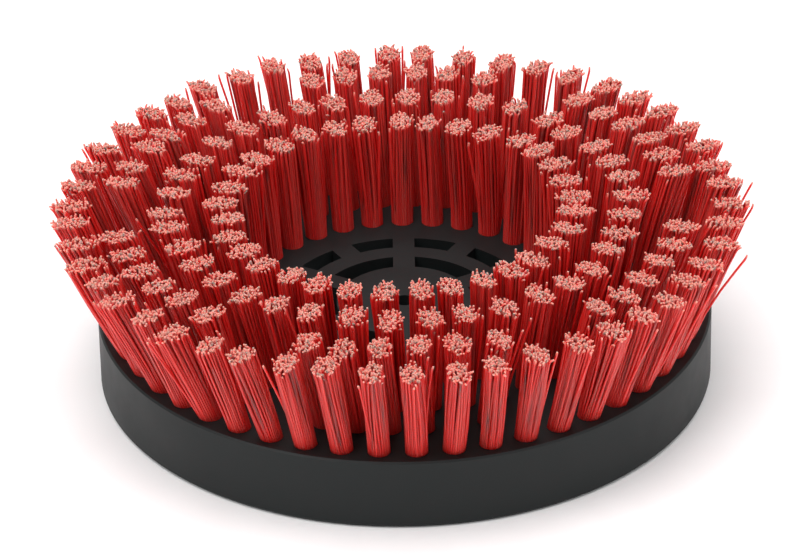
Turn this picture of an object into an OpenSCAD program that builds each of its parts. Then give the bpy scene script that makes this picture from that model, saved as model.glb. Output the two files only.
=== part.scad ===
// Round disc brush for a rotary machine: a moulded block, four rings of outward-leaning tufts,
// and the wire staples that hold each tuft in its drilled hole.
// Origin: centre of the back face. +Z runs along the spin axis, towards the bristle tips.
// Sizes run inwards from the rim: rim, four rings of holes, recess, web and hub.

/* [Block] */
// Outer diameter of the block
block_d = 200; // [165:1:260]
// Overall height of the block
block_h = 24; // [20:1:40]
// Chamfer on the top edge of the side wall
top_chamfer = 0.6; // [0.3:0.1:1.5]
// Chamfer on the bottom edge of the side wall
foot_chamfer = 1.2; // [0.5:0.1:2.5]

/* [Tufts] */
// Diameter of a drilled tuft hole
hole_d = 7.4; // [5:0.1:9]
// Depth of a tuft hole along its own axis
hole_depth = 13; // [10:0.5:15.5]
// Radial clearance between a tuft and its hole, at the face
root_gap = 0.1; // [0.05:0.05:0.3]
// How much wider a tuft is at its trimmed tip than at the face
tip_splay = 2; // [1:0.1:2.4]
// Height of the trimmed tips above the face
trim_h = 37; // [25:1:60]

/* [Rings] */
// Wall between the outer ring's holes and the side of the block
edge_wall = 3.3; // [2:0.1:6]
// Wall between one ring's holes and the next ring's
ring_wall = 5.8; // [3.6:0.1:7]
// Least wall between neighbouring holes of the outer ring
outer_wall = 4.2; // [3:0.1:8]
// Least wall between neighbouring holes of the second ring
second_wall = 3; // [2:0.1:8]
// Least wall between neighbouring holes of the third ring
third_wall = 3.5; // [2.4:0.1:8]
// Least wall between neighbouring holes of the inner ring
inner_wall = 2.7; // [2.2:0.1:8]
// Outward lean of the outer ring, in degrees
outer_lean = 19; // [16:1:22]
// Outward lean of the second ring, in degrees
second_lean = 17.5; // [14:0.5:18]
// Outward lean of the third ring, in degrees
third_lean = 12; // [9:0.5:14]
// Outward lean of the inner ring, in degrees
inner_lean = 5; // [3:0.5:8]
// Angle of the outer ring's first tuft from +X, in degrees
outer_start = 5.4; // [0:0.05:7]
// Angle of the third ring's first tuft from +X, in degrees
third_start = 1.7; // [0:0.05:9]
// Angle of the inner ring's first tuft from +X, in degrees
inner_start = 3; // [0:0.05:10]

/* [Centre web] */
// Wall between the inner ring's holes and the recess in the back
recess_wall = 6.5; // [4:0.1:10]
// Thickness of the slotted web
web_t = 5; // [3:0.5:10]
// Land between the recess wall and the short slots
rim_land = 2; // [0.6:0.1:4]
// Width of the twelve short slots, along the radius
short_slot_w = 6; // [4:0.1:8]
// Width of the web between the short slots and the long ones
web_ring_w = 6.4; // [4:0.1:8]
// Width of the six long slots, along the radius
long_slot_w = 6.6; // [4:0.1:8]
// Land between the long slots and the hub's wall
hub_land = 0.7; // [0.3:0.1:3]
// Width of the spokes between slots
spoke_w = 7.2; // [5:0.1:9]
// Diameter of the centre hole, which clears an M6 bolt
bore_d = 6.6; // [5:0.1:8]
// Thickness of the ribs under the web
rib_t = 4; // [2:0.5:7]
// Gap from the back face to the ribs' lower edge
rib_set_back = 2; // [1:0.5:6]

/* [Screw holes in the back] */
// Diameter of the pilot holes
pilot_d = 5; // [3:0.1:6]
// Depth of the pilot holes
pilot_depth = 16; // [8:1:18]

/* [Staples] */
// Width of the staple wire, along the hole
staple_w = 2; // [1.5:0.1:2.5]
// Thickness of the staple wire
staple_t = 0.45; // [0.3:0.05:0.6]
// How far each end of a staple bites into the wall of the hole
staple_bite = 0.5; // [0.2:0.1:0.8]
// Thickness of the tuft's fold, under the staple
fold_t = 1.2; // [0.8:0.1:2]

/* [Hidden] */
$fn = 96;
tuft_fn = 32;
eps = 0.01;
block_r = block_d / 2;
long_spokes = 6;
short_spokes = 12;
groups = 6;
group_angle = 360 / groups;
// Radius and diameter of a tuft where it leaves the face, and at its tip
root_r = hole_d / 2 - root_gap;
tip_d = 2 * root_r + tip_splay;
// Gap between the foot of a tuft and the bottom of its hole, and round a staple
foot_gap = 0.05;

// Radii of the four rings at the face
ring_step = hole_d + ring_wall;
outer_r = block_r - edge_wall - hole_d / 2;
second_r = outer_r - ring_step;
third_r = second_r - ring_step;
inner_r = third_r - ring_step;

// Radii of the web's features, from the recess inwards
recess_r = inner_r - hole_d / 2 - recess_wall;
short_slot_r2 = recess_r - rim_land;
short_slot_r1 = short_slot_r2 - short_slot_w;
long_slot_r2 = short_slot_r1 - web_ring_w;
long_slot_r1 = long_slot_r2 - long_slot_w;
hub_r = long_slot_r1 - hub_land;

// How many tufts fit round a ring
function places(r, wall) = floor(2 * PI * r / (hole_d + wall));

// The second ring is six runs of places, and the first and last place of each run stay empty
run_length = floor(places(second_r, second_wall) / groups);
second_n = groups * run_length;

// Rings from the outside in: [name, radius, places, first angle, lean, places left empty in each run]
RINGS = [
    ["outer_ring", outer_r, places(outer_r, outer_wall), outer_start, outer_lean, []],
    ["second_ring", second_r, second_n, 180 / second_n, second_lean, [0, run_length - 1]],
    ["third_ring", third_r, places(third_r, third_wall), third_start, third_lean, []],
    ["inner_ring", inner_r, places(inner_r, inner_wall), inner_start, inner_lean, []]
];

// Angle of place k of a ring, counted anticlockwise from +X
function place_angle(ring, k) = ring[3] + k * 360 / ring[2];

// Is place k of a ring filled with a tuft
function filled(ring, k) = len(search(k % run_length, ring[5])) == 0;

// Group of an angle: group 1 is centred on +Y, and the groups run clockwise seen from the bristle side
function group_of(angle) = 1 + floor(((90 - angle + group_angle / 2 + 720) % 360) / group_angle);

// Angles of the filled places of a ring, in one group or, with group 0, in all
function angles(ring, group = 0) = [
    for (k = [0 : ring[2] - 1])
        if (filled(ring, k) && (group == 0 || group_of(place_angle(ring, k)) == group))
            place_angle(ring, k)
];

// Puts children on a hole's axis: origin where the axis meets the face, +Z out along the lean
module at_hole(ring, angle) {
    rotate([0, 0, angle])
        translate([ring[1], 0, block_h])
            rotate([0, ring[4], 0])
                children();
}

// One drilled hole, with its mouth well above the face
module tuft_hole() {
    translate([0, 0, -hole_depth])
        cylinder(d = hole_d, h = hole_depth + hole_d, $fn = tuft_fn);
}

// One staple, across its hole and along the ring, so that the folded tuft opens along the disc's radius
module staple(gap = 0) {
    length = hole_d + 2 * staple_bite + 2 * gap;
    translate([-staple_t / 2 - gap, -length / 2, -hole_depth + foot_gap + fold_t - gap])
        cube([staple_t + 2 * gap, length, staple_w + 2 * gap]);
}

// One tuft: a slender cone from the foot of its hole to the trimmed tip
module tuft(ring) {
    lean = ring[4];
    along = trim_h / cos(lean);
    slope = (tip_d / 2 - root_r) / along;
    past = tip_d * tan(lean);
    difference() {
        translate([0, 0, -hole_depth + foot_gap])
            cylinder(
                r1 = root_r - slope * (hole_depth - foot_gap),
                r2 = root_r + slope * (along + past),
                h = hole_depth - foot_gap + along + past,
                $fn = tuft_fn
            );
        staple(foot_gap);
        rotate([0, -lean, 0])
            translate([-2 * tip_d, -2 * tip_d, trim_h])
                cube([4 * tip_d, 4 * tip_d, 4 * tip_d]);
    }
}

// The tufts of one group of a ring
module tufts(ring, group) {
    color("firebrick")
        for (angle = angles(ring, group))
            at_hole(ring, angle) tuft(ring);
}

// The staples of one group of a ring
module staples(ring, group) {
    color("silver")
        for (angle = angles(ring, group))
            at_hole(ring, angle) staple();
}

// A row of slots: a ring cut through by spokes with parallel sides
module slot_row(r1, r2, spokes) {
    translate([0, 0, block_h - web_t - eps])
        difference() {
            cylinder(r = r2, h = web_t + 2 * eps);
            translate([0, 0, -eps])
                cylinder(r = r1, h = web_t + 4 * eps);
            for (k = [0 : spokes - 1])
                rotate([0, 0, 90 + k * 360 / spokes])
                    translate([0, -spoke_w / 2, -eps])
                        cube([r2 + 1, spoke_w, web_t + 4 * eps]);
        }
}

// The recess in the back, round the hub and between the ribs
module back_recess() {
    difference() {
        translate([0, 0, -eps])
            cylinder(r = recess_r, h = block_h - web_t + eps);
        translate([0, 0, -2 * eps])
            cylinder(r = hub_r, h = block_h);
        for (k = [0 : long_spokes - 1])
            rotate([0, 0, 90 + k * 360 / long_spokes])
                translate([hub_r - 1, -rib_t / 2, rib_set_back])
                    cube([recess_r - hub_r + 2, rib_t, block_h]);
    }
}

// The block's outline, turned about the axis
module block_blank() {
    rotate_extrude($fn = 180)
        polygon([
            [0, 0],
            [block_r - foot_chamfer, 0],
            [block_r, foot_chamfer],
            [block_r, block_h - top_chamfer],
            [block_r - top_chamfer, block_h],
            [0, block_h]
        ]);
}

module brush_block() {
    color("#343534")
        difference() {
            block_blank();
            back_recess();
            slot_row(long_slot_r1, long_slot_r2, long_spokes);
            slot_row(short_slot_r1, short_slot_r2, short_spokes);
            translate([0, 0, -eps])
                cylinder(d = bore_d, h = block_h + 2 * eps, $fn = 48);
            for (k = [0 : groups - 1])
                rotate([0, 0, k * group_angle])
                    translate([second_r, 0, -eps])
                        cylinder(d = pilot_d, h = pilot_depth + eps, $fn = 32);
            for (ring = RINGS)
                for (angle = angles(ring))
                    at_hole(ring, angle) {
                        tuft_hole();
                        staple();
                    }
        }
}

brush_block();
for (ring = RINGS)
    for (g = [1 : groups]) {
        tufts(ring, g);
        staples(ring, g);
    }
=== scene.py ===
"""The looks of a round disc brush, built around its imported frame.

Everything is in metres, in the CAD model's frame: the origin is the centre of the back face, and
+Z runs along the spin axis towards the bristle tips.
"""

import math
import random

import bmesh
import bpy
import numpy as np
from mathutils import Matrix, Vector


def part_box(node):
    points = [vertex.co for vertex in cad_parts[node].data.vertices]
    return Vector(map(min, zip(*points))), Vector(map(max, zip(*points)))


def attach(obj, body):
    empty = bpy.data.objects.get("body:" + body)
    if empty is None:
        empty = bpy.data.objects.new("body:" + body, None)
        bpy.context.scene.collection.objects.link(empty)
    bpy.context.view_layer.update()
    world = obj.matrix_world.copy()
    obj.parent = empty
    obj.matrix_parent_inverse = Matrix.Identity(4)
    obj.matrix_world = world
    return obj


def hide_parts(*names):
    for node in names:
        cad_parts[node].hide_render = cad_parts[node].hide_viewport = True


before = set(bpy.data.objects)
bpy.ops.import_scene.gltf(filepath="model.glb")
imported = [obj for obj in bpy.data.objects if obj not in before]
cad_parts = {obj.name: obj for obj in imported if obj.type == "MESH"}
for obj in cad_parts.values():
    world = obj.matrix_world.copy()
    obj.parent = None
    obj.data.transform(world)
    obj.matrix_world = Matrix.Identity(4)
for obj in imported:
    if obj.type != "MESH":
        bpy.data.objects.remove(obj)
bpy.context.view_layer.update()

MM = 0.001
# Points of the CAD mesh this close are one point, and those this near a tuft's top are its rim
SAME_POINT = 0.001 * MM
SAME_HEIGHT = 0.01 * MM
RINGS = ("outer_ring", "second_ring", "third_ring", "inner_ring")
GROUPS = range(1, 7)

# Camera: how far in metres from the middle of the block's face, how many degrees above it, how it
# is turned from looking straight there, and its focal length in millimetres
CAMERA_DISTANCE = 1.5761
CAMERA_ELEVATION = 30.13
CAMERA_PAN = -0.0506
CAMERA_TILT = 0.2407
CAMERA_ROLL = -1.0303
CAMERA_LENS = 217.4
# The nearest and the farthest that it sees, in metres
CAMERA_CLIP = (0.05, 50)

# Light: the strength of the even daylight, and each soft box as its name, its place and size in
# metres, and its power in watts
DAYLIGHT = 0.52
SOFT_BOXES = (
    ("key", (-0.9, -0.7, 1.7), 1.4, 19),
    ("fill", (1.1, -0.5, 1.4), 1.4, 6),
    ("top", (0.0, 0.3, 2.0), 1.6, 25),
)
# Side of the floor, in metres
FLOOR_SIZE = 12

# Filaments
FILAMENT_D = 0.76 * MM
FILAMENT_SIDES = 6
# Edges sharper than this, in degrees, stay crisp: the rim of a filament's cut end, but not its sides
CRISP_ANGLE = 62
# Shares of the straight part's length, and then of the bent end's, that have a ring of points
SHAFT = (0.0, 0.2, 0.45, 0.70, 0.88, 1.0)
BENT_END = (0.35, 0.7, 1.0)
BENT_LENGTH = 2.3 * MM
# How thick the filament is at each ring of points: pressed wide at the root, drawn in at the end
WIDTHS = (1.12, 1.12, 1.08, 1.04, 1.0, 1.0, 0.97, 0.92, 0.8)
# How deep in its hole a filament starts, just above the staple
ROOT_DEPTH = 9.5 * MM

# A direction that no filament runs along, from which the points round each centre line are turned
NEVER_ALONG = (0.3, 0.9, 0.05)

# Tufts: filaments packed in rings where they leave the block, and opened along the disc's radius
# at the tips
PACKING_RINGS = 6
ROOT_R = 3.2 * MM
TIP_ALONG_RADIUS = 5.0 * MM
TIP_ACROSS_RADIUS = 3.1 * MM
# How far all the tips are brushed to one side, along X and Y
SWEEP = np.array([-1.3, -0.7, 0]) * MM
# Above 1, a tuft opens more near its tips than near its root
OPENING = 1.15
# The narrowest and the widest tuft, as shares of the usual spread at the tips
SPREAD = (0.92, 1.1)

# Scatter in millimetres: of a whole tuft's tips, of one tip in its tuft, of the bow in one filament,
# and of how far below the trimmed height a filament ends
TUFT_SCATTER = 0.8
TIP_SCATTER = 0.38
BOW_SCATTER = 0.25
TRIM_SCATTER = 0.3
# The share of filaments that are cut too short, and by how many millimetres
CUT_SHORT = 0.03
CUT_SHORT_BY = (0.5, 3)
# How many radians a filament's end is bent through, and how many when the filament stands out
END_BEND = (0.25, 1.5)
STRAY_BEND = (0.1, 0.5)

# The shares of filaments that stand out of their tuft: in the neatest tuft, in the untidiest one,
# and those that stand out a long way
NEAT_STRAYS = 0.015
UNTIDY_STRAYS = 0.16
FLYAWAYS = 0.004
# The higher, the fewer untidy tufts there are
RARITY = 4
# How far a filament stands out, in millimetres, and how much farther the few that go a long way
STRAY_REACH = (0.6, 3.2)
FLYAWAY_REACH = (3, 5)
# How much redder or paler than the others a whole tuft can be, as a share of a filament's range
TUFT_TONE = 0.12


def linear(code):
    """An sRGB colour such as "c8352f", as linear RGBA."""
    channels = [int(code[i:i + 2], 16) / 255 for i in (0, 2, 4)]
    return [c / 12.92 if c <= 0.04045 else ((c + 0.055) / 1.055) ** 2.4 for c in channels] + [1]


def add_node(tree, kind, inputs=None, **settings):
    """Adds a node with its settings. An input is a value, or another node's output to link from."""
    made = tree.nodes.new(kind)
    for name, value in settings.items():
        setattr(made, name, value)
    for name, value in (inputs or {}).items():
        if isinstance(value, bpy.types.NodeSocket):
            tree.links.new(value, made.inputs[name])
        else:
            made.inputs[name].default_value = value
    return made


def new_material(name):
    """An empty material, and its node tree."""
    material = bpy.data.materials.new(name)
    material.use_nodes = True
    material.node_tree.nodes.clear()
    return material, material.node_tree


def moulded_polypropylene():
    """Black polypropylene, injection moulded: satin, with the fine even grain of the tool, and a
    gloss that wanders a little from place to place."""
    material, tree = new_material("moulded_polypropylene")
    place = add_node(tree, "ShaderNodeTexCoord").outputs["Object"]
    grain = add_node(tree, "ShaderNodeTexNoise", {
        "Vector": place, "Scale": 1 / (0.7 * MM), "Detail": 2.0, "Roughness": 0.5})
    cloud = add_node(tree, "ShaderNodeTexNoise", {
        "Vector": place, "Scale": 1 / (22 * MM), "Detail": 3.0, "Roughness": 0.6})
    colour = add_node(tree, "ShaderNodeMix", {
        0: cloud.outputs["Fac"], 6: linear("131717"), 7: linear("1a1f1f")}, data_type="RGBA")
    gloss = add_node(tree, "ShaderNodeMapRange", {
        "Value": cloud.outputs["Fac"], "From Min": 0.3, "From Max": 0.7, "To Min": 0.44, "To Max": 0.56})
    bump = add_node(tree, "ShaderNodeBump", {
        "Height": grain.outputs["Fac"], "Strength": 0.25, "Distance": 0.05 * MM})
    surface = add_node(tree, "ShaderNodeBsdfPrincipled", {
        "Base Color": colour.outputs[2], "Roughness": gloss.outputs[0],
        "Normal": bump.outputs[0], "IOR": 1.49, "Specular IOR Level": 0.28})
    add_node(tree, "ShaderNodeOutputMaterial", {"Surface": surface.outputs[0]})
    return material


def extruded_filament():
    """Red polypropylene filament, extruded and drawn: half glossy along its length, each strand a
    slightly different red, and pale and rough for the last millimetre, where it was sheared."""
    material, tree = new_material("extruded_filament")
    strand = add_node(tree, "ShaderNodeAttribute", attribute_name="strand").outputs["Fac"]
    to_tip = add_node(tree, "ShaderNodeAttribute", attribute_name="mm_from_tip").outputs["Fac"]
    red = add_node(tree, "ShaderNodeMix", {
        0: strand, 6: linear("d32523"), 7: linear("e2423c")}, data_type="RGBA")
    sheared = add_node(tree, "ShaderNodeMapRange", {
        "Value": to_tip, "From Min": 0.2, "From Max": 1.4, "To Min": 1.0, "To Max": 0.0})
    colour = add_node(tree, "ShaderNodeMix", {
        0: sheared.outputs[0], 6: red.outputs[2], 7: linear("ec978a")}, data_type="RGBA")
    gloss = add_node(tree, "ShaderNodeMapRange", {
        "Value": sheared.outputs[0], "To Min": 0.36, "To Max": 0.7})
    surface = add_node(tree, "ShaderNodeBsdfPrincipled", {
        "Base Color": colour.outputs[2], "Roughness": gloss.outputs[0], "IOR": 1.5,
        "Subsurface Weight": 0.85, "Subsurface Radius": (1.0, 0.2, 0.15),
        "Subsurface Scale": 2.0 * MM})
    add_node(tree, "ShaderNodeOutputMaterial", {"Surface": surface.outputs[0]})
    return material


def drawn_steel_wire():
    """Flat drawn steel wire: bright, with fine lines along its length."""
    material, tree = new_material("drawn_steel_wire")
    place = add_node(tree, "ShaderNodeTexCoord").outputs["Object"]
    lines = add_node(tree, "ShaderNodeTexNoise", {
        "Vector": place, "Scale": 1 / (0.2 * MM), "Detail": 2.0})
    colour = add_node(tree, "ShaderNodeMix", {
        0: lines.outputs["Fac"], 6: linear("8f9194"), 7: linear("b9bbbd")}, data_type="RGBA")
    gloss = add_node(tree, "ShaderNodeMapRange", {
        "Value": lines.outputs["Fac"], "To Min": 0.25, "To Max": 0.45})
    surface = add_node(tree, "ShaderNodeBsdfPrincipled", {
        "Base Color": colour.outputs[2], "Roughness": gloss.outputs[0], "Metallic": 1.0})
    add_node(tree, "ShaderNodeOutputMaterial", {"Surface": surface.outputs[0]})
    return material


def matt_paint():
    """The pale, matt paint of a studio floor."""
    material, tree = new_material("matt_paint")
    surface = add_node(tree, "ShaderNodeBsdfPrincipled", {
        "Base Color": linear("fcfcfc"), "Roughness": 0.9})
    add_node(tree, "ShaderNodeOutputMaterial", {"Surface": surface.outputs[0]})
    return material


def dress(piece, material):
    """Gives a piece one material."""
    piece.data.materials.clear()
    piece.data.materials.append(material)


def make_camera():
    """A long lens in front of the brush, looking down at it."""
    face = Vector((0, 0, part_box("brush_block")[1].z))
    elevation = math.radians(CAMERA_ELEVATION)
    away = Vector((0, -math.cos(elevation), math.sin(elevation)))
    turn = Matrix.Rotation(math.pi / 2 - elevation, 4, "X")
    turn = turn @ Matrix.Rotation(math.radians(-CAMERA_PAN), 4, "Y")
    turn = turn @ Matrix.Rotation(math.radians(CAMERA_TILT), 4, "X")
    turn = turn @ Matrix.Rotation(math.radians(CAMERA_ROLL), 4, "Z")
    data = bpy.data.cameras.new("camera")
    data.lens = CAMERA_LENS
    data.clip_start, data.clip_end = CAMERA_CLIP
    camera = bpy.data.objects.new("camera", data)
    camera.matrix_world = Matrix.Translation(face + CAMERA_DISTANCE * away) @ turn
    bpy.context.scene.collection.objects.link(camera)
    bpy.context.scene.camera = camera


def make_light():
    """Even daylight all round, with a large soft box over each shoulder and one overhead."""
    world = bpy.data.worlds.new("studio")
    world.use_nodes = True
    background = world.node_tree.nodes["Background"]
    background.inputs["Color"].default_value = (1, 1, 1, 1)
    background.inputs["Strength"].default_value = DAYLIGHT
    bpy.context.scene.world = world
    for name, place, size, power in SOFT_BOXES:
        data = bpy.data.lights.new(name, "AREA")
        data.size = size
        data.energy = power
        lamp = bpy.data.objects.new(name, data)
        lamp.location = place
        lamp.rotation_euler = (-Vector(place)).to_track_quat("-Z", "Y").to_euler()
        bpy.context.scene.collection.objects.link(lamp)


def make_floor():
    """A plain pale floor under the brush."""
    bpy.ops.object.select_all(action="DESELECT")
    bpy.ops.mesh.primitive_plane_add(size=FLOOR_SIZE)
    floor = bpy.context.object
    floor.name = "floor"
    dress(floor, matt_paint())


def solids(node):
    """The points of each separate solid in a CAD node, one array per solid."""
    mesh = bmesh.new()
    mesh.from_mesh(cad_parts[node].data)
    bmesh.ops.remove_doubles(mesh, verts=mesh.verts, dist=SAME_POINT)
    unseen = set(mesh.verts)
    found = []
    while unseen:
        front = [unseen.pop()]
        island = list(front)
        while front:
            near = {edge.other_vert(vert) for vert in front for edge in vert.link_edges}
            front = list(near & unseen)
            unseen -= near
            island += front
        found.append(np.array([vert.co[:] for vert in island]))
    mesh.free()
    return found


def tuft_axes(ring, group):
    """(staple, tip) of each tuft in a group, in order round the ring. A tuft's axis runs through
    the middle of its staple and the middle of its trimmed top."""
    staples = [points.mean(0) for points in solids(f"{ring}_staples_{group}")]
    tips = []
    for points in solids(f"{ring}_tufts_{group}"):
        rim = points[points[:, 2] > points[:, 2].max() - SAME_HEIGHT]
        tips.append((rim.min(0) + rim.max(0)) / 2)
    axes = []
    for tip in sorted(tips, key=lambda p: math.atan2(p[1], p[0])):
        bearing = tip[:2] / np.linalg.norm(tip[:2])
        staple = max(staples, key=lambda p: (p[:2] @ bearing) / np.linalg.norm(p[:2]))
        axes.append((staple, tip))
    return axes


def straight_filament():
    """One upright filament: its points as (station, x, y), and its faces. A station is a ring of
    points, numbered from the root."""
    last = len(SHAFT) + len(BENT_END) - 1
    bpy.ops.object.select_all(action="DESELECT")
    bpy.ops.mesh.primitive_cylinder_add(
        vertices=FILAMENT_SIDES, radius=FILAMENT_D / 2, depth=last, location=(0, 0, last / 2))
    filament = bpy.context.object
    bpy.ops.object.transform_apply(location=True, rotation=False, scale=False)
    bpy.ops.object.mode_set(mode="EDIT")
    for station in range(1, last):
        bpy.ops.mesh.select_all(action="SELECT")
        bpy.ops.mesh.bisect(plane_co=(0, 0, station), plane_no=(0, 0, 1))
    bpy.ops.object.mode_set(mode="OBJECT")
    points = []
    for vert in filament.data.vertices:
        station = round(vert.co.z)
        points.append((station, vert.co.x * WIDTHS[station], vert.co.y * WIDTHS[station]))
    faces = [list(face.vertices) for face in filament.data.polygons]
    bpy.data.objects.remove(filament)
    return points, faces


def unit(vectors):
    """The vectors, each brought to a length of 1."""
    return vectors / np.linalg.norm(vectors, axis=-1, keepdims=True)


def packing(chance):
    """Where the filaments of a tuft stand in its circle of radius 1: one in the middle, and rings
    of 6, 12, 18 and so on."""
    places = [np.zeros(2)]
    for ring in range(1, PACKING_RINGS):
        turn = chance.uniform(0, 2 * math.pi)
        for k in range(6 * ring):
            angle = turn + 2 * math.pi * k / (6 * ring)
            places.append(np.array([math.cos(angle), math.sin(angle)]) * ring / (PACKING_RINGS - 1))
    return places


def filament_paths(staple, tip, face, chance):
    """The centre lines of a tuft's filaments, as an array of filament, station and place.
    Each runs straight up the tuft's axis inside the hole, spreads from the block's face to the
    trimmed height with a slight bow, and ends in a short arc."""
    axis = unit(tip - staple)
    outward = unit(np.array([tip[0], tip[1], 0]))
    aside = np.cross(np.array([0, 0, 1.0]), outward)
    across = np.cross(aside, axis)
    root = staple + axis * (face - staple[2]) / axis[2]
    reach = np.linalg.norm(tip - root)

    def scatter(size):
        """A random step sideways, of about this many millimetres."""
        return np.array([chance.gauss(0, size), chance.gauss(0, size)]) * MM

    lean = scatter(TUFT_SCATTER)
    strays = NEAT_STRAYS + (UNTIDY_STRAYS - NEAT_STRAYS) * chance.random() ** RARITY
    spread = chance.uniform(*SPREAD) * np.array([TIP_ALONG_RADIUS, TIP_ACROSS_RADIUS])
    paths = []
    for place in packing(chance):
        start = place * ROOT_R
        end = place * spread + scatter(TIP_SCATTER) + lean
        bend = chance.uniform(*END_BEND)
        fate = chance.random()
        if fate < strays:
            end = end + place * chance.uniform(*STRAY_REACH) * MM
            bend = chance.uniform(*STRAY_BEND)
        if fate < FLYAWAYS:
            end = end + place * chance.uniform(*FLYAWAY_REACH) * MM
        bow = scatter(BOW_SCATTER)
        bearing = chance.uniform(0, 2 * math.pi)
        short = abs(chance.gauss(0, TRIM_SCATTER)) * MM
        if chance.random() < CUT_SHORT:
            short += chance.uniform(*CUT_SHORT_BY) * MM
        radius = BENT_LENGTH / bend
        height = reach - end[0] * across[2] / axis[2] - short - radius * math.sin(bend)
        line = []
        for share in SHAFT:
            w = -ROOT_DEPTH + share * (height + ROOT_DEPTH)
            t = max(0.0, w / reach)
            opened = t ** OPENING
            offset = start + (end - start) * opened + bow * math.sin(math.pi * min(1, t))
            line.append(
                root + axis * w + across * offset[0] + aside * offset[1] + SWEEP * opened)
        onward = unit(line[-1] - line[-2])
        side = unit(np.cross(onward, across * math.cos(bearing) + aside * math.sin(bearing)))
        for share in BENT_END:
            angle = share * bend
            line.append(
                line[len(SHAFT) - 1]
                + onward * radius * math.sin(angle)
                + side * radius * (1 - math.cos(angle)))
        paths.append(line)
    return np.array(paths)


def tuft_points(paths, points, chance):
    """The straight filament's points, laid round each centre line."""
    along = unit(np.gradient(paths, axis=1))
    first = unit(np.cross(along, np.array(NEVER_ALONG)))
    second = np.cross(along, first)
    station = np.array([p[0] for p in points])
    x = np.array([p[1] for p in points])
    y = np.array([p[2] for p in points])
    made = []
    for k in range(len(paths)):
        angle = chance.uniform(0, 2 * math.pi)
        turned_x = x * math.cos(angle) - y * math.sin(angle)
        turned_y = x * math.sin(angle) + y * math.cos(angle)
        made.append(
            paths[k, station]
            + turned_x[:, None] * first[k, station]
            + turned_y[:, None] * second[k, station])
    return np.array(made)


def bristles(ring, group, face, points, faces, material):
    """The tufts of one group of a ring, as one piece that stands for the group's CAD node."""
    chance = random.Random(f"{ring} {group}")
    tufts = []
    from_tip = []
    strands = []
    station = np.array([p[0] for p in points])
    for staple, tip in tuft_axes(ring, group):
        paths = filament_paths(staple, tip, face, chance)
        tufts.append(tuft_points(paths, points, chance))
        steps = np.linalg.norm(np.diff(paths, axis=1), axis=2)
        lengths = np.concatenate([np.cumsum(steps[:, ::-1], 1)[:, ::-1], np.zeros((len(paths), 1))], 1)
        from_tip.append(lengths[:, station] / MM)
        tone = chance.uniform(-TUFT_TONE, TUFT_TONE)
        strands.append([min(1, max(0, chance.uniform(0, 1) + tone)) for _ in paths])
    places = np.concatenate(tufts).reshape(-1, 3)
    count = len(places) // len(points)
    numbered = [
        [corner + k * len(points) for corner in side] for k in range(count) for side in faces]
    mesh = bpy.data.meshes.new(f"{ring}_bristles_{group}")
    mesh.from_pydata(places.tolist(), [], numbered)
    distance = mesh.attributes.new("mm_from_tip", "FLOAT", "POINT")
    distance.data.foreach_set("value", np.concatenate(from_tip).astype(np.float32).ravel())
    strand = mesh.attributes.new("strand", "FLOAT", "POINT")
    shades = np.repeat(np.concatenate(strands), len(points))
    strand.data.foreach_set("value", shades.astype(np.float32))
    piece = bpy.data.objects.new(mesh.name, mesh)
    bpy.context.scene.collection.objects.link(piece)
    bpy.ops.object.select_all(action="DESELECT")
    piece.select_set(True)
    bpy.context.view_layer.objects.active = piece
    bpy.ops.object.shade_smooth_by_angle(angle=math.radians(CRISP_ANGLE))
    dress(piece, material)
    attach(piece, "root")
    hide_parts(f"{ring}_tufts_{group}")
    return piece


def main():
    """Lays out the studio, dresses the block and the staples, and makes the bristles."""
    bpy.context.scene.view_settings.view_transform = "Standard"
    make_camera()
    make_light()
    make_floor()
    dress(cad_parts["brush_block"], moulded_polypropylene())
    wire = drawn_steel_wire()
    filament = extruded_filament()
    points, faces = straight_filament()
    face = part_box("brush_block")[1].z
    for ring in RINGS:
        for group in GROUPS:
            dress(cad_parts[f"{ring}_staples_{group}"], wire)
            bristles(ring, group, face, points, faces, filament)


main()
